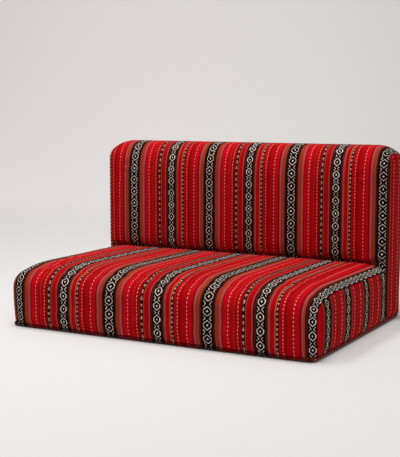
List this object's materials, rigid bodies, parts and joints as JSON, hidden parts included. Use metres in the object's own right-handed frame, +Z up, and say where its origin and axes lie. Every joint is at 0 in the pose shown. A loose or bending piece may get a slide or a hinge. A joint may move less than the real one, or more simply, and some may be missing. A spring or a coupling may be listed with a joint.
{
  "type": "majlis floor sofa",
  "caption": "Low floor sofa: long crowned seat pad and upright backrest block on one low base, in striped woven cloth with a welt round the foot and a zipped outside back.",
  "frame": {"origin": "middle of the floor area under the sofa, on the floor", "axes": "+X to the right seen from the front, -Y towards the front, +Z up"},
  "size_m": [1.2, 0.84, 0.6499],
  "materials": {
    "striped_cloth": "matte",
    "side_cloth": "matte",
    "welt_cloth": "matte",
    "wadding": "matte",
    "foam": "matte",
    "base_foam": "matte",
    "timber": "matte",
    "plywood": "matte",
    "hardboard": "matte",
    "zinc_steel": "satin",
    "glide_plastic": "satin",
    "dust_cloth": "matte",
    "zip_tape": "matte",
    "zip_coil": "satin",
    "zip_metal": "satin"
  },
  "bodies": {
    "root": {"back_bottom_rails": "timber", "back_cover": "striped_cloth", "back_cover_lower": "striped_cloth", "back_foam_front": "foam", "back_foam_rear": "foam", "back_foam_top": "foam", "back_front_board": "hardboard", "back_gusset_left": "side_cloth", "back_gusset_right": "side_cloth", "back_middle_rails": "timber", "back_post_left": "timber", "back_post_middle": "timber", "back_post_right": "timber", "back_rear_board": "hardboard", "back_side_pad_left": "foam", "back_side_pad_right": "foam", "back_top_rail": "timber", "back_wadding": "wadding", "base_welt": "welt_cloth", "corner_blocks": "timber", "cross_rail_left": "timber", "cross_rail_right": "timber", "deck_screws": "zinc_steel", "dust_cover": "dust_cloth", "frame_bolts": "zinc_steel", "frame_nuts": "zinc_steel", "frame_washers": "zinc_steel", "front_rail": "timber", "front_rail_pad": "foam", "glides": "glide_plastic", "rear_rail": "timber", "seat_cover": "striped_cloth", "seat_deck": "plywood", "seat_foam_base": "base_foam", "seat_foam_top": "foam", "seat_gusset_left": "side_cloth", "seat_gusset_right": "side_cloth", "seat_rail_pad_left": "foam", "seat_rail_pad_right": "foam", "seat_wadding": "wadding", "side_rail_left": "timber", "side_rail_right": "timber", "zip_coil_lower": "zip_coil", "zip_coil_upper": "zip_coil", "zip_stops": "zip_metal", "zip_tape_lower": "zip_tape", "zip_tape_upper": "zip_tape"},
    "zip_slider": {"zip_slider": "zip_metal"},
    "zip_pull": {"zip_pull": "zip_metal"}
  },
  "joints": [
    {"name": "zip_slide", "type": "slide", "parent": "root", "child": "zip_slider", "axis": [1, 0, 0], "range_m": [0, 1.068]},
    {"name": "pull_swing", "type": "hinge", "parent": "zip_slider", "child": "zip_pull", "pos_m": [-0.534, 0.4176, 0.062], "axis": [1, 0, 0], "range_deg": [0, 165]}
  ]
}
